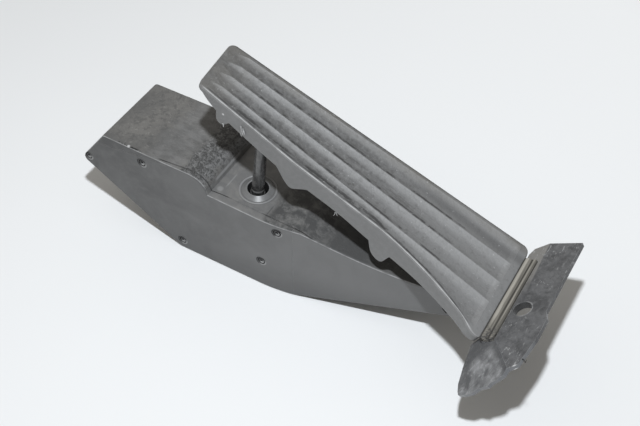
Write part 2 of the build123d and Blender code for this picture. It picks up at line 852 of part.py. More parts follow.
def shoe_top_z(x):
    """Height of the top of the heel plate's shoe on the nose at x."""
    share = (x - shoe_left) / (nose_x - shoe_left)
    return nose_top_z + shoe_thick + shoe_fall * (1 - share)


def heel_leg(outer):
    """Leg from under the hinge down to a shoe on top of the housing's nose."""
    front = heel_point(strip_edge, 0, -heel_thick / 2)
    back = heel_point(hinge_gap_edge(), 0, leg_lap - heel_thick)
    under = heel_point(strip_edge, 0, -heel_thick - leg_drop)
    face = polygon([
        (shoe_left, shoe_top_z(shoe_left)), (nose_x, shoe_top_z(nose_x)),
        (back.X - leg_slant, back.Z - leg_slant), (back.X, back.Z), (front.X, front.Z), (under.X, under.Z),
        (leg_low_x, nose_top_z - shoe_thick), (shoe_left, nose_top_z - shoe_thick),
    ])
    return slab(face, leg_near, leg_far) - outer


def heel_plate(outer):
    plate = heel_frame.location * extrude(Pos(0, 0, -heel_thick) * heel_outline(), amount=heel_thick)
    leg = heel_leg(outer)
    for x, y in heel_screw_places:
        leg -= Pos(x, y, shoe_top_z(x)) * Cylinder(heel_screw_r + screw_play, 4 * shoe_thick)
        sink = Cylinder(heel_screw_head_r + screw_play, shoe_thick, align=FOOT)
        leg -= Pos(x, y, heel_screw_seat(x)) * sink
    boss = Cylinder(bolt_boss_r, bolt_deep - heel_thick / 2, align=FOOT)
    boss = Pos(bolt_along, bolt_y, -bolt_deep) * boss
    plate = plate + wing() + leg + heel_frame.location * boss
    strip_long = strip_far - strip_near + 2 * screw_play
    recess = Box(2 * (strip_edge + strip_groove), strip_long, heel_thick, align=EDGE)
    recess = Pos(0, strip_near - screw_play, -strip_deep) * recess
    bolt = Pos(bolt_along, bolt_y, 0) * Cylinder(bolt_hole_r, 4 * bolt_deep)
    return plate - heel_frame.location * recess - heel_frame.location * bolt


def heel_screw_seat(x):
    """Height of the flat under a heel screw's head."""
    return shoe_top_z(x) - heel_screw_sunk


def heel_screws():
    screws = []
    for x, y in heel_screw_places:
        seat = heel_screw_seat(x)
        screw = Pos(x, y, seat) * Cylinder(heel_screw_head_r, heel_screw_head, align=FOOT)
        screw += Pos(x, y, seat) * Cylinder(heel_screw_r, heel_screw_long, align=HEAD)
        drive = extrude(RegularPolygon(heel_screw_r, 6), -heel_screw_head / 2)
        screws.append(screw - Pos(x, y, seat + heel_screw_head) * drive)
    return screws


def hinge_strip():
    """Strip between the heel plate and the pedal's knuckle, with two rounded ridges along it."""
    axis = heel_frame.to_local_coords(Vector(hinge_x, 0, hinge_z))
    reach = hypot(knuckle_r, plate_end) + hinge_play
    high = (axis.X + reach * cos(radians(strip_open)), axis.Z + reach * sin(radians(strip_open)))
    side = (axis.X + reach, axis.Z)
    floor_x = axis.X + (reach ** 2 - (axis.Z + strip_deep) ** 2) ** 0.5
    face = make_face([
        ThreePointArc(high, side, (floor_x, -strip_deep)),
        Polyline((floor_x, -strip_deep), (strip_edge, -strip_deep), (strip_edge, 0)),
        ThreePointArc((strip_edge, 0), strip_second, strip_dip),
        ThreePointArc(strip_dip, strip_first, high),
    ])
    strip = slab(face, strip_near, strip_far)
    return heel_frame.location * strip


def main():
    os.makedirs("parts", exist_ok=True)
    outer = hull()
    near_bush_y = hub_near - bush_gap - bush_long
    far_bush_y = hub_far + spigot_hub_long + bush_gap
    nodes = {
        "housing_shell": housing_shell(outer),
        "side_cover": side_cover(outer),
        "cover_screws": Compound(children=cover_screws()),
        "rod_grommet": rod_grommet(),
        "heel_plate": heel_plate(outer),
        "heel_screws": Compound(children=heel_screws()),
        "hinge_strip": hinge_strip(),
        "pedal_plate": pedal_plate(),
        "push_rod": push_rod(),
        "rod_foot": rod_foot(),
        "throttle_lever": throttle_lever(),
        "pivot_pin": pivot_pin(),
        "near_bush": bush(near_bush_y),
        "far_bush": bush(far_bush_y),
        "friction_washer": friction_washer(),
        "spring_seat": spring_seat(),
        "outer_spring": coil(outer_coil_r, outer_wire_r, outer_turns),
        "inner_spring": coil(inner_coil_r, inner_wire_r, inner_turns),
        "idle_stop": idle_stop(),
        "sensor_rotor": sensor_rotor(),
        "sensor_board": sensor_board(),
        "sensor_chips": Compound(children=sensor_chips()),
        "board_screws": Compound(children=board_screws()),
        "connector_pins": Compound(children=connector_pins()),
    }
    for name, solid in nodes.items():
        export_step(solid, f"parts/{name}.step")


main()
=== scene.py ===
"""Looks of a floor-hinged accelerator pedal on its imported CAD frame. Lengths in shaders are millimetres."""
import json
import math
from types import SimpleNamespace

import bpy
from mathutils import Matrix, Vector


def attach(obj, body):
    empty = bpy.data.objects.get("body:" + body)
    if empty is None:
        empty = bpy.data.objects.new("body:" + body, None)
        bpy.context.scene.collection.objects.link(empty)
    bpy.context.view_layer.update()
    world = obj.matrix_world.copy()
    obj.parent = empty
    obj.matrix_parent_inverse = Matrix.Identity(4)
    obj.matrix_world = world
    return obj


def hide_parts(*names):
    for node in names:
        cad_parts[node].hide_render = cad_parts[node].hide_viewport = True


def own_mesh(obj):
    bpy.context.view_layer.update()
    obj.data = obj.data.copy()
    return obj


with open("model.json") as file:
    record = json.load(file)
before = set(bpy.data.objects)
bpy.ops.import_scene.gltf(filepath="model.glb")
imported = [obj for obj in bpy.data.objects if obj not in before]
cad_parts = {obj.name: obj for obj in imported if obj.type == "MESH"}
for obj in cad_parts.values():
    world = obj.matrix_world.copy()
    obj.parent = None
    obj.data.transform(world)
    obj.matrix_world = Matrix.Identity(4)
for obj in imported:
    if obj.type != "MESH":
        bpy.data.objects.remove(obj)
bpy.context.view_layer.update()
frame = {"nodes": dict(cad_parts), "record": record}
nodes = frame["nodes"]

# One millimetre in metres
MM = 0.001

# Hinge line of the pedal as X and Z, and the slope of its plate in degrees
HINGE = (161.6, 54.7)
PEDAL_ANGLE = 23.5
# Near edge of the plate: how far it is from Y = 0, and where it closes in above and flares out below
PEDAL_NEAR = 19.3
NEAR_TAPER_FROM = 135.0
NEAR_TAPER = 0.051
NEAR_FLARE_TO = 80.0
NEAR_FLARE = 0.00288
# Far edge: its taper, and where its dust and its line of painted shade begin and end at the hinge
FAR_TAPER = 0.0626
FAR_DUST = (26.0, 33.0)
FAR_EDGE_SHADE = (32.8, 33.8)
# Distances in from the near edge of its line of painted highlight and of the line of painted shade beside it
HIGHLIGHT_IN = 0.4
RIM_SHADE_IN = 1.75
# Heights between which the grime of a flute fades out, and of the line of painted shade behind each crest
GRIME_UP = (2.0, 0.9)
CREST_SHADE = 1.75
# Stretches along the plate from the hinge
HEEL_END = (120.0, 30.0)
RUBBED_FROM = (40.0, 110.0)
GRIME_END = (196.0, 150.0)
TOP_DUST = (172.0, 203.0)
CREST_REACH = (35.0, 182.0)
RIM_SHADE_REACH = (8.0, 196.0)
HIGHLIGHT_REACH = (4.0, 198.0)
# Patch of painted shade near the far edge, across the plate and along it
SHADE_PATCH_Y = (20.0, 26.0)
SHADE_PATCH_END = (85.0, 55.0)
SPECK = (-6.9, -17.2, 122.4)

# Line that the heel plate starts from, its slope in degrees and the way square to it
HEEL = (164.9, 55.65)
HEEL_ANGLE = 30.0
HEEL_UP = (-math.sin(math.radians(HEEL_ANGLE)), 0.0, math.cos(math.radians(HEEL_ANGLE)))
# Middle and radius of its bolt hole, and where the painted highlight on its rim fades in
BOLT = (177.28, -12.2, 62.8)
BOLT_RADIUS = 5.6
BOLT_LIT_X = (176.0, 180.0)
# Painted sheen by the hinge: its end along the plate, the slant of that end, and where it fades out across
SHEEN_END = (11.4, 10.6)
SHEEN_SLANT = 0.054
SHEEN_Y = (-4.0, 20.0)
# Fold of the heel plate's wing: its low end, and the ways along it and away from it
FOLD = (170.7, -35.0, 59.0)
FOLD_ALONG = (0.563, -0.760, 0.325)
FOLD_AWAY = (-0.356, -0.578, -0.735)
# Where the wing and the torn edge begin across the plate, and where the unworn low part of the fold ends
WING_Y = (-24.0, -27.0)
TORN_Y = (-32.0, -38.0)
CREASE_END = (20.0, 16.0)
# Pale sliver at the torn edge, along the plate and across it
SLIVER_ALONG = (26.6, 28.4)
SLIVER_Y = (-53.6, -51.6)
# Crests of the hinge strip, which carry painted highlights, and the line of painted shade between them, along
# the heel plate
STRIP_CRESTS = (2.1, 6.2)
STRIP_GROOVE = 4.9
# Its edge of painted shade along the plate, and its spotted and dark near end across it
STRIP_EDGE_SHADE = (1.2, 0.4)
STRIP_NEAR = (-16.0, -30.0)
STRIP_DARK = (-24.0, -33.0)

# Ring in the deck: its middle and the way square to it, and the height of the pale ring on the rod
GROMMET = (7.5, -8.6, 61.6)
GROMMET_UP = (0.05, 0.0, 0.9987)
ROD_RING_Z = 62.6
# Its bead, groove, lip and bore, as radii: painted highlights on the bead and the lip, painted shade in the
# groove and the bore
GROMMET_BEAD = (10.1, 10.9)
GROMMET_GROOVE = (9.8, 10.6)
GROMMET_LIP = (6.5, 7.1)
GROMMET_BORE = (6.6, 6.4)
# Side screws as X and Z, the rings of painted shade and the rims of painted highlight round each head, and
# the ring on the head that carries a painted highlight
SCREWS = ((-107.6, 48.6), (-63.3, 64.8), (-39.8, 7.4), (19.9, 23.0), (31.6, 54.6))
SCREW_SHADE = (2.3, 3.5)
SCREW_HIGHLIGHT = (2.5, 3.5)
SCREW_HEAD_HIGHLIGHT = (0.9, 1.9)

# Sides: where their tone changes along X, and where they darken towards the belly in Z
SIDE_TONE = (-112.0, 45.0)
BELLY_SHADE = (30.0, 0.0)
# Zones of the deck along X, from the tail to the nose
TAIL_ZONE = (-76.0, -100.0)
BRUSHED_ZONE = (-58.0, -35.0)
GRAINED_ZONE = (-34.0, -17.0)
STEP_ZONE = (-32.0, -14.0)
PATCH_START = (-16.9, -16.5)
PATCH_END = (20.0, 25.0)
SCUFF_END = (80.0, 40.0)
NOSE_ZONE = (104.0, 80.0)
# Lines across the deck, each at an X and over a reach in Y
SCORE_X = -16.5
SCORE_Y = (-17.0, 9.0)
STREAK_X = -10.0
STREAK_Y = (-16.0, -5.0)
CUT_X = 22.0
CUT_Y = (-22.6, -15.0)
# Seam of the side cover: two points on the deck as X and Y, its reach, and a faint stretch of it
SEAM_FROM = (-49.0, -26.4)
SEAM_TO = (-7.5, -22.8)
SEAM_REACH = (-50.0, 54.0)
SEAM_FAINT = (-4.0, 20.0)
# Seam under the tail's lip: two points of it as X and Z, and where it stops
LIP_FROM = (-98.0, 65.1)
LIP_TO = (-44.0, 73.2)
LIP_END = (-43.5, -44.5)
# Dark gaps on the tail's near edge
GAPS_X = (-80.0, -64.0)
GAPS_Y = (-27.6, -26.2)
# Pale marks: a chip by the rod, and a nick on the tail's near edge
CHIP = (-12.1, -19.6, 62.1)
EDGE_NICK = (-72.4, -26.8, 74.0)

# Torn flash on the near skirt: the radius of each thread, and its points
FLASH = (
    (0.38, ((5.3, -18.1, 120.2), (6.1, -18.4, 117.0), (5.0, -18.6, 113.6))),
    (0.38, ((6.6, -18.0, 118.9), (7.1, -18.4, 116.2), (5.6, -18.8, 113.2))),
    (0.38, ((6.9, -18.0, 117.6), (7.8, -18.4, 115.6), (7.2, -18.6, 114.6))),
    (0.24, ((65.7, -19.2, 84.6), (66.0, -19.6, 83.4), (64.9, -19.8, 81.9))),
    (0.24, ((66.4, -19.2, 84.8), (66.9, -19.5, 83.4), (67.3, -19.7, 82.9))),
    (0.38, ((-7.6, -17.0, 115.6), (-7.0, -17.2, 113.9), (-7.2, -17.3, 113.0))),
)
# Curl of swarf on the heel plate's edge: its radius, and its points along, across and above the plate
SWARF_RADIUS = 0.3
SWARF = ((29.0, -46.6, -0.8), (31.4, -48.0, 0.2), (32.6, -50.0, -0.4), (32.2, -47.6, -0.2))

# Stage, with places in metres: the floor, how much painted light it gains for each millimetre, the key lamp
# and the camera
FLOOR_SIZE = 6.0
FLOOR_DROP = 0.0001
FLOOR_PAINTED_LIGHT = (0.00083, 0.00248, 0.0)
LAMP_AT = Vector((0.178, -0.230, 0.637))
LAMP_AIM = Vector((0.03, 0.0, 0.03))
LAMP_SIZE = 0.03
LAMP_POWER = 4.6
LAMP_STRENGTH = 2.2
CAMERA_AT = Vector((0.2491, -0.3523, 0.5106))
CAMERA_WAY = Vector((-0.3336, 0.5755, -0.7466))
CAMERA_LENS = 58.16
CAMERA_SENSOR = 36.0
CAMERA_NEAR = 0.01
# Strength of the fill, and how much it changes from the middle to +X
FILL_LEVEL = 0.32
FILL_SLOPE = -0.27


class Look:
    """A node material put together from short calls."""

    def __init__(self, name):
        self.material = bpy.data.materials.new(name)
        self.material.use_nodes = True
        self.tree = self.material.node_tree
        self.tree.nodes.clear()
        self.shader = self.node("ShaderNodeBsdfPrincipled")
        output = self.node("ShaderNodeOutputMaterial")
        self.tree.links.new(self.shader.outputs[0], output.inputs["Surface"])
        place = self.node("ShaderNodeTexCoord")
        scaled = self.node("ShaderNodeVectorMath", operation="SCALE")
        self.put(scaled.inputs[0], place.outputs["Object"])
        self.put(scaled.inputs["Scale"], 1.0 / MM)
        self.at = scaled.outputs[0]
        self.x, self.y, self.z = self.split(self.at)
        self.facing = self.split(place.outputs["Normal"])

    def node(self, kind, **settings):
        made = self.tree.nodes.new(kind)
        for name, value in settings.items():
            setattr(made, name, value)
        return made

    def put(self, socket, value):
        if isinstance(value, bpy.types.NodeSocket):
            self.tree.links.new(value, socket)
        else:
            socket.default_value = value

    def split(self, vector):
        parts = self.node("ShaderNodeSeparateXYZ")
        self.put(parts.inputs[0], vector)
        return parts.outputs[0], parts.outputs[1], parts.outputs[2]

    def join(self, x, y, z):
        joined = self.node("ShaderNodeCombineXYZ")
        for socket, value in zip(joined.inputs, (x, y, z)):
            self.put(socket, value)
        return joined.outputs[0]

    def calc(self, kind, *values):
        made = self.node("ShaderNodeMath", operation=kind)
        for socket, value in zip(made.inputs, values):
            self.put(socket, value)
        return made.outputs[0]

    def chain(self, kind, values):
        result = values[0]
        for value in values[1:]:
            result = self.calc(kind, result, value)
        return result

    def times(self, *values):
        return self.chain("MULTIPLY", values)

    def plus(self, *values):
        return self.chain("ADD", values)

    def most(self, *values):
        return self.chain("MAXIMUM", values)

    def minus(self, value, less):
        return self.calc("SUBTRACT", value, less)

    def flip(self, value):
        return self.minus(1.0, value)

    def sway(self, noise, size):
        """Noise as a shift to both sides of nought."""
        return self.times(self.plus(noise, -0.5), size)

    def rise(self, value, low, high, to_low=0.0, to_high=1.0, kind="SMOOTHSTEP"):
        """Step from to_low at low to to_high at high; low may be above high."""
        made = self.node("ShaderNodeMapRange", interpolation_type=kind)
        for socket, given in zip(made.inputs, (value, low, high, to_low, to_high)):
            self.put(socket, given)
        return made.outputs[0]

    def band(self, value, low, high, soft):
        """One between low and high, nought outside them."""
        start = self.rise(value, low - soft, low + soft)
        end = self.rise(value, high + soft, high - soft)
        return self.times(start, end)

    def line(self, distance, half, soft=0.2):
        """Thin line where the distance is nought."""
        return self.rise(self.calc("ABSOLUTE", distance), half + soft, half)

    def stroke(self, x, half, soft, reach):
        """Line at an X, over a reach in Y."""
        return self.times(self.line(self.plus(self.x, -x), half, soft), self.band(self.y, *reach, 2.0))

    def spot(self, place, size):
        """Soft spot round a point."""
        gap = self.node("ShaderNodeVectorMath", operation="DISTANCE")
        self.put(gap.inputs[0], self.at)
        self.put(gap.inputs[1], place)
        return self.rise(gap.outputs["Value"], size, size * 0.4)

    def toward(self, origin, way):
        """Distance from origin along a way."""
        gap = self.node("ShaderNodeVectorMath", operation="SUBTRACT")
        self.put(gap.inputs[0], self.at)
        self.put(gap.inputs[1], origin)
        dot = self.node("ShaderNodeVectorMath", operation="DOT_PRODUCT")
        self.put(dot.inputs[0], gap.outputs[0])
        self.put(dot.inputs[1], way)
        return dot.outputs["Value"]

    def round_axis(self, origin, way):
        """Distance from an axis, and distance along it."""
        rise = self.toward(origin, way)
        gap = self.node("ShaderNodeVectorMath", operation="DISTANCE")
        self.put(gap.inputs[0], self.at)
        self.put(gap.inputs[1], origin)
        far = gap.outputs["Value"]
        square = self.minus(self.times(far, far), self.times(rise, rise))
        return self.calc("SQRT", self.most(square, 0.0)), rise

    def round_screw(self, x, z):
        """Distance from the middle of a side screw, and how far to its upper left a point is."""
        gap = self.minus(self.x, x)
        rise = self.minus(self.z, z)
        away = self.calc("SQRT", self.plus(self.times(gap, gap), self.times(rise, rise)))
        slant = self.calc("DIVIDE", self.minus(rise, gap), self.most(away, 0.01))
        return away, slant

    def edge(self, radius, low=0.05, high=0.3):
        """One along the edges of the form, nought away from them."""
        bevel = self.node("ShaderNodeBevel", samples=8)
        self.put(bevel.inputs["Radius"], radius * MM)
        form = self.node("ShaderNodeNewGeometry")
        dot = self.node("ShaderNodeVectorMath", operation="DOT_PRODUCT")
        self.put(dot.inputs[0], bevel.outputs[0])
        self.put(dot.inputs[1], form.outputs["Normal"])
        return self.rise(self.flip(dot.outputs["Value"]), low, high)

    def noise(self, scale, detail=3.0, rough=0.5, distort=0.0, at=None, turn=0.0):
        made = self.node("ShaderNodeTexNoise", noise_dimensions="4D")
        self.put(made.inputs["Vector"], self.at if at is None else at)
        for name, value in (("W", turn), ("Scale", scale), ("Detail", detail), ("Roughness", rough)):
            self.put(made.inputs[name], value)
        self.put(made.inputs["Distortion"], distort)
        return made.outputs[0]

    def blend(self, share, a, b):
        made = self.node("ShaderNodeMix", data_type="RGBA")
        self.put(made.inputs[0], share)
        self.put(made.inputs[6], (*a, 1.0) if isinstance(a, tuple) else a)
        self.put(made.inputs[7], (*b, 1.0) if isinstance(b, tuple) else b)
        return made.outputs[2]

    def tint(self, color, other, *shares):
        """Colour moved towards another by the product of the shares."""
        return self.blend(self.times(*shares), color, other)

    def sloped(self, origin, angle, way):
        """Distance along a slope from origin, rising towards +X or -X as way says, and square to it."""
        slope = math.radians(angle)
        origin = (origin[0], 0.0, origin[1])
        along = self.toward(origin, (way * math.cos(slope), 0.0, math.sin(slope)))
        square = self.toward(origin, (-way * math.sin(slope), 0.0, math.cos(slope)))
        return along, square

    def finish(self, color, rough, height=None, deep=0.1, metal=0.0, specular=0.5):
        """Sets the shader; height is a relief, deep millimetres for each unit of it."""
        self.put(self.shader.inputs["Base Color"], (*color, 1.0) if isinstance(color, tuple) else color)
        self.put(self.shader.inputs["Roughness"], rough)
        self.put(self.shader.inputs["Metallic"], metal)
        self.put(self.shader.inputs["Specular IOR Level"], specular)
        if height is not None:
            bump = self.node("ShaderNodeBump")
            self.put(bump.inputs["Height"], height)
            self.put(bump.inputs["Distance"], deep * MM)
            self.tree.links.new(bump.outputs[0], self.shader.inputs["Normal"])
        return self.material


def grey(value, warm=0.0):
    """Grey of that level, a little brown where warm is above nought."""
    return (value * (1.0 + warm), value, value * (1.0 - 1.6 * warm))


def body_fields(look):
    """Noises and places that the housing's colours and relief share."""
    body = SimpleNamespace()
    body.clouds = look.noise(0.035, 5.0, 0.62, 0.6)
    body.wisps = look.noise(0.11, 5.0, 0.6, 1.2)
    body.mottle = look.noise(0.3, 5.0, 0.68, 0.4)
    body.coarse = look.noise(0.55, 4.0, 0.72, 0.3, turn=4.0)
    body.fine = look.noise(1.0, 3.0, 0.65)
    body.flecks = look.noise(0.62, 5.0, 0.75, 0.5, turn=7.0)
    # Faces: the steep one of the step, those that look up, the near side, and the tail's part of that side
    body.step = look.times(look.rise(look.facing[0], 0.5, 0.7), look.band(look.x, *STEP_ZONE, 1.0))
    body.up = look.most(look.rise(look.facing[2], 0.3, 0.55), body.step)
    body.side = look.rise(look.facing[1], -0.7, -0.9)
    body.near = look.times(look.rise(look.facing[1], -0.4, -0.8), look.rise(look.x, *LIP_END))
    # Zones of the deck, with wandering borders
    body.rubbed = look.flip(look.times(look.rise(look.x, *TAIL_ZONE), 0.75))
    body.border = look.plus(look.x, look.sway(look.noise(0.12, 3.0), 14.0))
    body.grained = look.band(body.border, *GRAINED_ZONE, 2.5)
    body.ragged = look.plus(look.x, look.sway(body.mottle, 5.0), look.sway(body.clouds, 14.0))
    body.patch = look.times(look.rise(look.x, *PATCH_START), look.rise(body.ragged, *reversed(PATCH_END)))
    body.score = look.stroke(SCORE_X, 0.15, 0.35, SCORE_Y)
    return body


def side_color(look, body):
    """Sides, darker towards the tail and the belly."""
    color = look.blend(look.rise(look.x, *SIDE_TONE, kind="LINEAR"), grey(0.038), grey(0.130))
    color = look.tint(color, grey(0.18), look.rise(body.clouds, 0.36, 0.62), 0.28)
    color = look.tint(color, grey(0.16), look.rise(body.wisps, 0.45, 0.75), 0.25)
    color = look.tint(color, grey(0.2), look.rise(body.fine, 0.55, 0.8), 0.15)
    return look.tint(color, grey(0.054), look.rise(look.z, *BELLY_SHADE), 0.6)


def deck_color(look, body):
    """Deck from tail to nose: dusty, brushed, grained at the step, smooth at the rod and scuffed below."""
    deck = look.tint(grey(0.102, 0.015), grey(0.152, 0.035), look.rise(body.clouds, 0.36, 0.62), body.rubbed)
    deck = look.tint(deck, grey(0.07, 0.01), look.rise(body.mottle, 0.5, 0.6), body.rubbed, 0.55)
    deck = look.tint(deck, grey(0.25, 0.03), look.rise(body.coarse, 0.55, 0.68), body.rubbed, 0.5)
    strokes = look.noise(0.22, 6.0, 0.7, 0.0, look.join(look.times(look.x, 0.45), look.y, look.z))
    brushed = look.blend(look.rise(strokes, 0.38, 0.62), grey(0.108), grey(0.19))
    deck = look.tint(deck, brushed, look.band(body.border, *BRUSHED_ZONE, 6.0), 0.55)
    grained = look.blend(look.rise(body.flecks, 0.45, 0.54), grey(0.042), grey(0.128))
    grained = look.tint(grained, grey(0.28), look.rise(body.flecks, 0.56, 0.66), 0.75)
    grained = look.tint(grained, grey(0.2), body.step, look.rise(body.flecks, 0.4, 0.52), 0.6)
    deck = look.tint(deck, grained, body.grained, 0.9)
    smooth = look.blend(look.rise(body.wisps, 0.35, 0.7), grey(0.134), grey(0.176, 0.02))
    smooth = look.tint(smooth, grey(0.23), look.rise(body.coarse, 0.58, 0.72), 0.25)
    deck = look.blend(body.patch, deck, smooth)
    scuffs = look.times(look.rise(look.noise(0.1, 5.0, 0.7, 0.3), 0.44, 0.6), look.rise(look.x, *SCUFF_END))
    scuffs = look.times(scuffs, look.rise(body.mottle, 0.36, 0.56, 0.35, 1.0))
    lower = look.tint(grey(0.058), grey(0.18, 0.02), scuffs, 0.7)
    lower = look.tint(lower, grey(0.22), look.rise(body.flecks, 0.58, 0.7), 0.35)
    below = look.times(look.rise(body.ragged, *PATCH_END), look.rise(look.x, *NOSE_ZONE, 0.35, 1.0))
    deck = look.blend(below, deck, lower)
    # Lines across the deck
    streak = look.stroke(STREAK_X, 0.2, 0.5, STREAK_Y)
    deck = look.blend(look.plus(look.times(body.score, 0.8), look.times(streak, 0.4)), deck, grey(0.3))
    cut = look.stroke(CUT_X, 0.15, 0.4, CUT_Y)
    return look.tint(deck, grey(0.03), cut, 0.5)


def body_seam(look, body, from_lip):
    """Seam of the side cover, along the deck and under the tail's lip."""
    seam_y = look.rise(look.x, SEAM_FROM[0], SEAM_TO[0], SEAM_FROM[1], SEAM_TO[1], kind="LINEAR")
    seam = look.line(look.minus(look.y, seam_y), 0.12, 0.35)
    seam = look.times(seam, body.up, look.band(look.x, *SEAM_REACH, 1.5))
    uneven = look.rise(look.noise(0.08, 2.0), 0.3, 0.55, 0.55, 1.0)
    faint = look.flip(look.times(look.band(look.x, *SEAM_FAINT, 2.0), 0.75))
    under_lip = look.times(look.line(from_lip, 0.1, 0.3), body.near, 0.2)
    return look.most(look.times(seam, uneven, faint), under_lip)


def body_look(name):
    """Housing and side cover: smooth sides, a worn deck, a seam, painted highlights along the near top edge,
    and painted shade and highlights round the screws.
    """
    look = Look(name)
    body = body_fields(look)
    color = look.blend(body.up, side_color(look, body), deck_color(look, body))
    lip_z = look.rise(look.x, LIP_FROM[0], LIP_TO[0], LIP_FROM[1], LIP_TO[1], kind="LINEAR")
    from_lip = look.minus(look.z, lip_z)
    seam = body_seam(look, body, from_lip)
    color = look.tint(color, grey(0.012), seam, 0.95)
    gaps = look.times(look.band(look.x, *GAPS_X, 1.0), look.band(look.y, *GAPS_Y, 0.4), body.up)
    color = look.tint(color, grey(0.012), gaps, look.rise(body.mottle, 0.45, 0.53))
    # Painted shade in rings round the screws, darkest at the upper left, and a painted highlight on their
    # rims at the lower right
    screw_ring_shade = 0.0
    painted_rim = 0.0
    for x, z in SCREWS:
        away, slant = look.round_screw(x, z)
        hoop = look.band(away, *SCREW_SHADE, 0.2)
        screw_ring_shade = look.most(screw_ring_shade, look.times(hoop, look.rise(slant, -0.9, 0.1, 0.1, 1.0)))
        painted_rim = look.most(painted_rim, look.times(look.band(away, *SCREW_HIGHLIGHT, 0.3), look.rise(slant, -0.3, -1.1)))
    color = look.tint(color, grey(0.002), screw_ring_shade, body.side)
    color = look.tint(color, grey(0.3), painted_rim, body.side, 0.7)
    # Pale edges: wear on all edges, painted highlights along the near top edge and just under the tail's lip,
    # and pale marks
    brow_highlight = look.times(look.band(look.facing[2], 0.42, 0.76, 0.1), look.rise(look.facing[1], -0.25, -0.5))
    lip_highlight = look.times(look.line(look.plus(from_lip, 0.8), 0.2, 0.4), body.near)
    worn = look.most(look.times(look.edge(0.5), 0.5), look.times(brow_highlight, 0.95), look.times(lip_highlight, 0.12))
    color = look.tint(color, grey(0.34), worn, look.rise(look.noise(0.2, 4.0), 0.3, 0.6, 0.4, 1.0))
    chip = look.times(look.spot(CHIP, 2.6), look.rise(body.clouds, 0.3, 0.6, 0.5, 1.0), 0.28)
    color = look.blend(look.most(look.spot(EDGE_NICK, 1.3), chip), color, grey(0.45))
    # Gloss and relief: the patch is smoother than the rest of the deck
    matte = look.times(body.up, look.flip(look.times(body.patch, body.up)))
    rough = look.rise(matte, 0.0, 1.0, 0.42, 0.62, kind="LINEAR")
    gritty = look.times(body.up, look.flip(look.times(body.patch, 0.8)))
    height = look.plus(look.times(body.fine, gritty, 1.2), look.times(body.coarse, gritty, body.rubbed, 1.6))
    height = look.plus(height, look.times(body.wisps, 0.3))
    height = look.plus(height, look.times(body.flecks, body.grained, body.up, 2.4))
    height = look.plus(height, look.times(seam, -3.0), look.times(body.score, body.up, 0.8))
    return look.finish(color, rough, look.plus(height, look.times(screw_ring_shade, body.side, -4.0)), 0.14)


def pedal_fields(look):
    """Noises and places that the pedal's colours and relief share."""
    pedal = SimpleNamespace()
    pedal.along, pedal.square = look.sloped(HINGE, PEDAL_ANGLE, -1)
    pedal.clouds = look.noise(0.045, 5.0, 0.62, 0.8)
    pedal.mid = look.noise(0.36, 5.0, 0.7, 0.5)
    pedal.fine = look.noise(1.0, 3.0, 0.65)
    stretched = look.join(look.times(pedal.along, 0.16), look.y, pedal.square)
    pedal.streaks = look.noise(0.3, 5.0, 0.62, 0.5, stretched)
    pedal.uneven = look.rise(look.noise(0.12, 4.0, turn=6.0), 0.34, 0.6, 0.35, 1.0)
    slope = math.radians(PEDAL_ANGLE)
    forward, _, upward = look.facing
    level = look.plus(look.times(forward, math.sin(slope)), look.times(upward, math.cos(slope)))
    pedal.top = look.times(look.rise(level, 0.35, 0.75), look.rise(pedal.square, -0.6, 0.0))
    return pedal


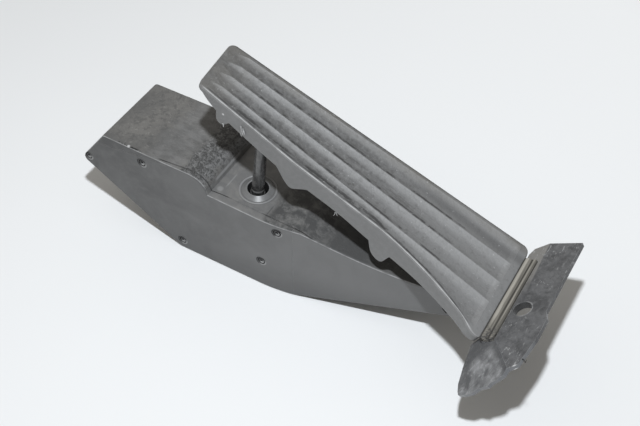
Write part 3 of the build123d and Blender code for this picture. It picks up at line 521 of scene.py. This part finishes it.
def flute_color(look, pedal):
    """Fluted top: grime in the flutes, painted highlights on the near-facing slopes of the ridges with broken
    lines of painted shade behind them, dust and nicks.
    """
    color = look.blend(look.rise(pedal.along, *HEEL_END), grey(0.132), grey(0.214))
    color = look.tint(color, grey(0.196), look.rise(pedal.clouds, 0.34, 0.68), 0.6)
    rubbed = look.rise(pedal.along, *RUBBED_FROM, 0.45, 1.0)
    color = look.tint(color, grey(0.235), look.rise(pedal.mid, 0.5, 0.64), rubbed, 0.55)
    color = look.tint(color, grey(0.078, 0.02), look.rise(pedal.mid, 0.48, 0.36), rubbed, 0.55)
    valley = look.rise(pedal.square, *GRIME_UP)
    grime = look.times(look.rise(pedal.streaks, 0.5, 0.72), look.rise(pedal.along, *GRIME_END, 0.3, 1.0))
    color = look.tint(color, grey(0.07, 0.03), grime, rubbed, look.plus(0.2, look.times(valley, 0.5)))
    # Painted highlight: the slopes of the ridges that face the near side are made lighter
    lit_slopes = look.times(look.rise(look.facing[1], -0.04, -0.26), look.rise(pedal.mid, 0.3, 0.55, 0.75, 1.0))
    color = look.tint(color, grey(0.3), lit_slopes, 0.48)
    # Painted shade in a patch near the far edge at the low end of the plate
    far_patch_shade = look.times(look.band(look.y, *SHADE_PATCH_Y, 2.5), look.rise(pedal.along, *SHADE_PATCH_END))
    color = look.tint(color, grey(0.085), far_patch_shade, 0.5)
    far = look.plus(look.y, look.times(pedal.along, FAR_TAPER))
    dusty = look.most(look.rise(far, *FAR_DUST), look.rise(pedal.along, *TOP_DUST, 0.0, 0.9))
    color = look.tint(color, grey(0.125, 0.07), dusty, look.rise(pedal.clouds, 0.35, 0.6, 0.3, 1.0), 0.6)
    # Broken lines of painted shade on the far-facing side behind each crest
    crest_shade = look.line(look.plus(pedal.square, -CREST_SHADE, look.sway(pedal.mid, 0.9)), 0.2, 0.25)
    broken = look.rise(look.noise(0.1, 5.0, 0.65, 0.6, turn=8.0), 0.42, 0.54)
    behind = look.times(look.rise(look.facing[1], 0.02, 0.1), look.band(pedal.along, *CREST_REACH, 12.0))
    color = look.tint(color, grey(0.035), crest_shade, broken, behind, 0.8)
    nicks = look.rise(look.noise(0.75, 3.0, 0.62, 0.8), 0.63, 0.71)
    color = look.tint(color, grey(0.42), nicks, look.rise(pedal.clouds, 0.42, 0.56), 0.8)
    # A line of painted highlight at the near edge with a line of painted shade inside it, and painted shade
    # along the far edge
    above = look.most(look.plus(pedal.along, -NEAR_TAPER_FROM), 0.0)
    below = look.most(look.minus(NEAR_FLARE_TO, pedal.along), 0.0)
    flare = look.times(below, below, NEAR_FLARE)
    inset = look.plus(PEDAL_NEAR, look.times(above, -NEAR_TAPER), flare, look.y)
    painted_rim = look.line(look.plus(inset, -RIM_SHADE_IN), 0.25, 0.45)
    color = look.tint(color, grey(0.045), painted_rim, look.band(pedal.along, *RIM_SHADE_REACH, 3.0), pedal.uneven, 0.85)
    pale = look.line(look.plus(inset, -HIGHLIGHT_IN), 0.3, 0.4)
    color = look.tint(color, grey(0.44), pale, look.band(pedal.along, *HIGHLIGHT_REACH, 3.0), pedal.uneven, 0.8)
    return look.tint(color, grey(0.055, 0.03), look.rise(far, *FAR_EDGE_SHADE), 0.6)


def pedal_look():
    """Fluted plate, and plain skirts with a painted highlight on the near shoulder, and worn edges."""
    look = Look("pedal_plastic")
    pedal = pedal_fields(look)
    skirt = look.blend(look.rise(pedal.mid, 0.35, 0.75), grey(0.166), grey(0.194))
    skirt = look.tint(skirt, grey(0.25), look.rise(pedal.clouds, 0.5, 0.7), 0.3)
    # Painted highlight on the near-facing shoulder of the skirts
    shoulder_highlight = look.times(look.rise(pedal.square, 0.2, 1.4), look.rise(look.facing[1], -0.5, -0.8))
    skirt = look.tint(skirt, grey(0.29), shoulder_highlight, pedal.uneven, 0.65)
    color = look.blend(pedal.top, skirt, flute_color(look, pedal))
    worn = look.times(look.edge(0.55), look.rise(look.noise(0.25, 4.0, turn=2.0), 0.32, 0.6, 0.25, 1.0))
    color = look.tint(color, grey(0.32), worn, 0.55)
    color = look.blend(look.spot(SPECK, 1.0), color, grey(0.6))
    rough = look.rise(pedal.streaks, 0.3, 0.75, 0.42, 0.56)
    height = look.plus(look.times(pedal.fine, 0.9), look.times(pedal.mid, 1.7))
    height = look.plus(height, look.times(pedal.streaks, 0.9))
    return look.finish(color, rough, look.times(height, look.rise(pedal.top, 0.0, 1.0, 0.2, 1.0)), 0.12)


def wing_color(look, clouds, fold, away):
    """Scuffed wing, dark at the low end of its fold, with streaks that run away from the fold."""
    pale = look.rise(look.plus(fold, look.times(clouds, 10.0)), 5.0, 12.0)
    pale = look.times(pale, look.rise(away, 0.5, 5.0))
    pale = look.times(pale, look.rise(look.noise(0.09, 5.0, 0.6, 0.6, turn=3.0), 0.34, 0.62))
    color = look.tint((0.082, 0.083, 0.086), (0.25, 0.252, 0.258), pale, 0.85)
    strokes = look.noise(0.3, 5.0, 0.7, 0.4, look.join(fold, look.times(away, 0.6), 0.0), turn=1.0)
    share = look.rise(pale, 0.0, 0.4, 0.1, 0.5)
    color = look.tint(color, (0.36, 0.363, 0.37), look.rise(strokes, 0.5, 0.62), share)
    return look.tint(color, (0.05, 0.051, 0.053), look.rise(strokes, 0.46, 0.36), 0.35)


def heel_look():
    """Dark flat with nicks, a bolt hole in painted shade, a painted sheen by the hinge and a scuffed wing."""
    look = Look("heel_plastic")
    along, square = look.sloped(HEEL, HEEL_ANGLE, 1)
    fold = look.toward(FOLD, FOLD_ALONG)
    away = look.toward(FOLD, FOLD_AWAY)
    clouds = look.noise(0.09, 5.0, 0.62, 0.8)
    mid = look.noise(0.34, 5.0, 0.7, 0.6)
    fine = look.noise(1.1, 3.0, 0.65)
    color = look.blend(look.rise(clouds, 0.34, 0.68), (0.06, 0.061, 0.064), (0.118, 0.119, 0.123))
    color = look.tint(color, (0.15, 0.151, 0.155), look.rise(mid, 0.5, 0.66), 0.5)
    color = look.tint(color, (0.035, 0.036, 0.038), look.rise(mid, 0.47, 0.36), 0.6)
    # Painted sheen on a strip by the hinge
    border = look.plus(along, look.times(look.y, SHEEN_SLANT), look.sway(mid, 2.0))
    sheen = look.times(look.rise(border, *SHEEN_END), look.rise(look.y, *SHEEN_Y))
    color = look.tint(color, grey(0.205, 0.04), sheen, look.rise(square, -0.8, -0.3), 0.75)
    wing = look.times(look.rise(look.facing[0], -0.5, -0.65), look.rise(look.y, *WING_Y))
    color = look.blend(wing, color, wing_color(look, clouds, fold, away))
    # Nicks in clusters, the torn edge, worn edges and a pale sliver
    stretched = look.join(look.times(along, 1.3), look.times(look.y, 0.55), square)
    scrapes = look.noise(0.36, 4.0, 0.6, 1.2, stretched, turn=5.0)
    cluster = look.rise(look.noise(0.06, 2.0, 0.5, 0.0, turn=9.0), 0.46, 0.6)
    nick = look.times(look.rise(scrapes, 0.57, 0.64), cluster)
    color = look.tint(color, grey(0.36), nick, look.flip(look.times(wing, 0.7)), 0.7)
    flat = look.plus(look.times(look.facing[0], HEEL_UP[0]), look.times(look.facing[2], HEEL_UP[2]))
    torn = look.times(look.rise(flat, 0.8, 0.5), look.flip(wing), look.rise(look.y, *TORN_Y))
    color = look.tint(color, (0.19, 0.195, 0.205), torn, 0.8)
    worn = look.times(look.edge(0.6), look.rise(look.noise(0.3, 4.0, turn=2.0), 0.34, 0.58))
    creased = look.times(look.line(away, 1.2, 0.6), look.rise(fold, *CREASE_END))
    color = look.tint(color, grey(0.36), worn, look.flip(creased), 0.7)
    sliver = look.times(look.band(along, *SLIVER_ALONG, 0.5), look.band(look.y, *SLIVER_Y, 0.5))
    color = look.tint(color, grey(0.62), sliver, look.edge(1.6, 0.02, 0.12))
    # Painted shade on the wall of the bolt hole, and a painted highlight on one side of its rim
    bolt, _ = look.round_axis(BOLT, HEEL_UP)
    hole_shade = look.times(look.rise(bolt, BOLT_RADIUS, BOLT_RADIUS - 0.2), look.rise(square, -0.2, -0.5))
    color = look.tint(color, grey(0.02), hole_shade, 0.92)
    painted_rim = look.times(look.line(look.plus(bolt, -BOLT_RADIUS), 0.2, 0.4), look.rise(square, -0.3, -0.1))
    painted_rim = look.times(painted_rim, look.rise(mid, 0.35, 0.55, 0.3, 1.0))
    color = look.tint(color, grey(0.34), painted_rim, look.rise(look.x, *BOLT_LIT_X), 0.5)
    rough = look.rise(wing, 0.0, 1.0, 0.36, 0.55, kind="LINEAR")
    height = look.plus(look.times(fine, 0.7), look.times(mid, 1.8), look.times(clouds, 1.5))
    return look.finish(color, rough, look.plus(height, look.times(nick, 0.6)), 0.14)


def strip_look():
    """Glossy brown-grey strip: painted highlights on two crests with a line of painted shade between them,
    painted shade at its edge by the hinge, and spots at the near end.
    """
    look = Look("hinge_plastic")
    along, square = look.sloped(HEEL, HEEL_ANGLE, 1)
    streaks = look.noise(1.3, 4.0, 0.6, 0.2, look.join(along, look.times(look.y, 0.05), square))
    spots = look.noise(0.7, 4.0, 0.7)
    near = look.rise(look.y, *STRIP_NEAR)
    color = look.blend(look.rise(streaks, 0.25, 0.75), (0.085, 0.08, 0.07), (0.2, 0.188, 0.165))
    # Painted highlights along the two crests
    first_highlight = look.line(look.plus(along, -STRIP_CRESTS[0]), 0.6, 0.9)
    first_highlight = look.times(first_highlight, look.rise(streaks, 0.2, 0.6, 0.5, 1.0))
    color = look.tint(color, (0.36, 0.34, 0.3), first_highlight, look.rise(near, 0.0, 1.0, 0.95, 0.3))
    second_highlight = look.line(look.plus(along, -STRIP_CRESTS[1]), 0.25, 0.4)
    second_highlight = look.times(second_highlight, look.rise(streaks, 0.2, 0.6, 0.4, 1.0))
    color = look.tint(color, (0.31, 0.292, 0.258), second_highlight, look.rise(near, 0.0, 1.0, 0.7, 0.25))
    # Painted shade in the line between the crests
    color = look.tint(color, (0.03, 0.028, 0.025), look.line(look.plus(along, -STRIP_GROOVE), 0.25, 0.5), 0.8)
    dark = look.times(look.rise(look.y, *STRIP_DARK), look.rise(spots, 0.44, 0.58))
    color = look.tint(color, (0.04, 0.04, 0.042), dark, 0.85)
    color = look.tint(color, (0.3, 0.29, 0.27), look.rise(spots, 0.64, 0.74), near, 0.6)
    # Painted shade at the edge by the hinge
    color = look.blend(look.rise(along, *STRIP_EDGE_SHADE), color, (0.03, 0.027, 0.023))
    return look.finish(color, look.rise(streaks, 0.3, 0.7, 0.2, 0.32), streaks, 0.05, specular=0.7)


def screw_look():
    """Blackened screws with a pale ring on the head, a painted highlight that is palest at the lower right.
    """
    look = Look("dark_screws")
    worn = 0.0
    for x, z in SCREWS:
        away, slant = look.round_screw(x, z)
        # Painted highlight on the ring of each head, palest at the lower right
        face = look.times(look.band(away, *SCREW_HEAD_HIGHLIGHT, 0.2), look.rise(slant, -1.2, 0.6, 1.0, 0.25))
        worn = look.most(worn, face)
    color = look.tint(grey(0.004), grey(0.34), worn, look.rise(look.noise(0.9, 3.0), 0.3, 0.6, 0.5, 1.0))
    rough = look.rise(look.noise(0.6), 0.3, 0.7, 0.5, 0.65)
    return look.finish(color, rough, look.noise(1.5), 0.04, specular=0.1)


def rod_look():
    """Polished dark rod with fine lines along it, a little dust and a pale ring at the deck."""
    look = Look("rod_plastic")
    lines = look.noise(0.5, 3.0, 0.6, 0.1, look.join(look.x, look.y, look.times(look.z, 0.04)))
    dust = look.rise(look.noise(0.25, 4.0), 0.42, 0.7)
    color = look.blend(look.rise(lines, 0.36, 0.62), grey(0.028), grey(0.066))
    color = look.tint(color, grey(0.36), look.line(look.plus(look.z, -ROD_RING_Z), 0.5, 0.4), 0.6)
    color = look.tint(color, grey(0.2, 0.02), dust, 0.3)
    return look.finish(color, look.rise(lines, 0.3, 0.7, 0.16, 0.26), lines, 0.03, specular=1.0)


def grommet_look():
    """Dished ring: from outside in, a bead with a painted highlight, a groove in painted shade, a lip with a
    painted highlight and a bore in painted shade.
    """
    look = Look("grommet")
    away, up = look.round_axis(GROMMET, GROMMET_UP)
    clouds = look.noise(0.12, 4.0, 0.6)
    fine = look.noise(1.2, 3.0, 0.55)
    color = look.blend(look.rise(clouds, 0.3, 0.72), grey(0.125), grey(0.165))
    # Painted shade in the groove and the bore, painted highlights on the bead and the lip
    color = look.tint(color, grey(0.05), look.band(away, *GROMMET_GROOVE, 0.4), 0.4)
    color = look.tint(color, grey(0.32), look.rise(away, *GROMMET_BEAD), look.rise(up, 0.0, 0.3), 0.6)
    color = look.tint(color, grey(0.3), look.band(away, *GROMMET_LIP, 0.15), look.rise(up, 1.4, 1.7), 0.6)
    color = look.blend(look.rise(away, *GROMMET_BORE), color, grey(0.03))
    return look.finish(color, look.rise(clouds, 0.3, 0.7, 0.32, 0.42), fine, 0.03)


def plain_look(name, dark, light, rough, metal=0.0):
    """Even surface with a fine grain, a little change of colour and worn edges."""
    look = Look(name)
    clouds = look.noise(0.12, 4.0, 0.6)
    fine = look.noise(1.2, 3.0, 0.55)
    color = look.blend(look.rise(clouds, 0.3, 0.72), dark, light)
    paler = tuple(min(1.0, channel * 1.8) for channel in light)
    color = look.tint(color, paler, look.edge(0.3), 0.4)
    return look.finish(color, look.rise(clouds, 0.3, 0.7, rough, rough + 0.08), fine, 0.03, metal)


looks = {
    "housing_plastic": body_look("housing_plastic"),
    "cover_plastic": body_look("cover_plastic"),
    "pedal_plastic": pedal_look(),
    "heel_plastic": heel_look(),
    "hinge_plastic": strip_look(),
    "dark_screws": screw_look(),
    "grommet": grommet_look(),
    "rod_plastic": rod_look(),
    "lever_plastic": plain_look("lever_plastic", grey(0.05), grey(0.07), 0.45),
    "steel": plain_look("steel", (0.45, 0.45, 0.46), (0.6, 0.6, 0.61), 0.28, 1.0),
    "bronze": plain_look("bronze", (0.48, 0.34, 0.17), (0.62, 0.47, 0.27), 0.35, 1.0),
    "rubber": plain_look("rubber", grey(0.018), grey(0.03), 0.7),
    "board": plain_look("board", (0.02, 0.1, 0.045), (0.03, 0.14, 0.06), 0.35),
    "chips": plain_look("chips", grey(0.018), grey(0.03), 0.5),
}

for part in frame["record"]["subparts"]:
    mesh = nodes[part["node"]].data
    mesh.materials.clear()
    mesh.materials.append(looks[part["material_slot"]])


def thread(name, points, radius, material, body):
    """Thin tapering thread along points, in millimetres, that rides on a body."""
    curve = bpy.data.curves.new(name, "CURVE")
    curve.dimensions = "3D"
    curve.bevel_depth = radius * MM
    curve.bevel_resolution = 1
    curve.resolution_u = 6
    spline = curve.splines.new("NURBS")
    spline.points.add(len(points) - 1)
    spline.use_endpoint_u = True
    spline.order_u = 3
    for i, (point, place) in enumerate(zip(spline.points, points)):
        point.co = (place[0] * MM, place[1] * MM, place[2] * MM, 1.0)
        point.radius = 1.0 - 0.6 * i / (len(points) - 1)
    shape = bpy.data.objects.new(name, curve)
    bpy.context.scene.collection.objects.link(shape)
    curve.materials.append(material)
    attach(shape, body)


def make_threads():
    """Torn flash on the pedal's near skirt, and a curl of swarf on the heel plate's edge."""
    pale = plain_look("flash", grey(0.42), grey(0.56), 0.4)
    dark = plain_look("swarf", grey(0.01), grey(0.02), 0.4)
    for i, (radius, points) in enumerate(FLASH):
        thread(f"flash_{i + 1}", points, radius, pale, "pedal")
    slope = math.radians(HEEL_ANGLE)
    curl = []
    for along, across, up in SWARF:
        x = HEEL[0] + along * math.cos(slope) - up * math.sin(slope)
        z = HEEL[1] + along * math.sin(slope) + up * math.cos(slope)
        curl.append((x, across, z))
    thread("swarf_curl", curl, SWARF_RADIUS, dark, "housing")


def make_springs():
    """Return springs as copies that ride on the housing; each stands for its CAD node, which is hidden."""
    for node, piece in (("outer_spring", "outer_coil"), ("inner_spring", "inner_coil")):
        coil = bpy.data.objects.new(piece, nodes[node].data.copy())
        bpy.context.scene.collection.objects.link(coil)
        coil.matrix_world = nodes[node].matrix_world
        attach(coil, "housing")
        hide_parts(node)
        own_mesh(coil)


def make_floor():
    """Pale floor with painted light, a little lighter towards +X and +Y."""
    bpy.ops.mesh.primitive_plane_add(size=FLOOR_SIZE, location=(0.0, 0.0, -FLOOR_DROP))
    floor = bpy.context.object
    floor.name = "floor"
    look = Look("floor_white")
    # Painted light: lighter towards +X and +Y
    rise = look.most(look.toward((0.0, 0.0, 0.0), FLOOR_PAINTED_LIGHT), 0.0)
    share = look.plus(look.times(rise, rise), look.times(look.noise(0.004, 2.0), 0.1))
    look.finish(look.blend(share, (0.772, 0.777, 0.78), (0.912, 0.917, 0.92)), 0.6, specular=0.2)
    floor.data.materials.append(look.material)


def make_world():
    """Slightly warm fill, stronger from -X, with a plain pale background for the camera."""
    world = bpy.data.worlds.new("studio")
    world.use_nodes = True
    tree = world.node_tree
    tree.nodes.clear()
    output = tree.nodes.new("ShaderNodeOutputWorld")
    seen = tree.nodes.new("ShaderNodeBackground")
    seen.inputs["Color"].default_value = (0.9, 0.91, 0.92, 1.0)
    seen.inputs["Strength"].default_value = 1.0
    fill = tree.nodes.new("ShaderNodeBackground")
    fill.inputs["Color"].default_value = (1.0, 0.968, 0.905, 1.0)
    way = tree.nodes.new("ShaderNodeTexCoord")
    parts = tree.nodes.new("ShaderNodeSeparateXYZ")
    tree.links.new(way.outputs["Generated"], parts.inputs[0])
    level = tree.nodes.new("ShaderNodeMath")
    level.operation = "MULTIPLY_ADD"
    tree.links.new(parts.outputs[0], level.inputs[0])
    level.inputs[1].default_value = FILL_SLOPE
    level.inputs[2].default_value = FILL_LEVEL
    tree.links.new(level.outputs[0], fill.inputs["Strength"])
    path = tree.nodes.new("ShaderNodeLightPath")
    choose = tree.nodes.new("ShaderNodeMixShader")
    tree.links.new(path.outputs["Is Camera Ray"], choose.inputs[0])
    tree.links.new(fill.outputs[0], choose.inputs[1])
    tree.links.new(seen.outputs[0], choose.inputs[2])
    tree.links.new(choose.outputs[0], output.inputs["Surface"])
    bpy.context.scene.world = world


def make_lamp():
    """Small cool key lamp, whose light doesn't weaken with distance."""
    lamp = bpy.data.lights.new("key", "AREA")
    lamp.shape = "DISK"
    lamp.size = LAMP_SIZE
    lamp.energy = LAMP_POWER
    lamp.color = (0.886, 0.925, 0.968)
    lamp.use_nodes = True
    falloff = lamp.node_tree.nodes.new("ShaderNodeLightFalloff")
    falloff.inputs["Strength"].default_value = LAMP_STRENGTH
    glow = lamp.node_tree.nodes["Emission"]
    lamp.node_tree.links.new(falloff.outputs["Constant"], glow.inputs["Strength"])
    key = bpy.data.objects.new("key", lamp)
    key.location = LAMP_AT
    key.rotation_mode = "QUATERNION"
    key.rotation_quaternion = (LAMP_AIM - LAMP_AT).to_track_quat("-Z", "Y")
    bpy.context.scene.collection.objects.link(key)


def make_camera():
    """Camera at the photograph's viewing angle."""
    data = bpy.data.cameras.new("camera")
    data.lens = CAMERA_LENS
    data.sensor_width = CAMERA_SENSOR
    data.clip_start = CAMERA_NEAR
    camera = bpy.data.objects.new("camera", data)
    forward = CAMERA_WAY.normalized()
    right = forward.cross(Vector((0.0, 0.0, 1.0))).normalized()
    up = right.cross(forward)
    turn = Matrix((right, up, -forward)).transposed()
    camera.matrix_world = Matrix.Translation(CAMERA_AT) @ turn.to_4x4()
    bpy.context.scene.collection.objects.link(camera)
    bpy.context.scene.camera = camera


make_threads()
make_springs()
make_floor()
make_world()
make_lamp()
make_camera()
view = bpy.context.scene.view_settings
view.view_transform = "Standard"
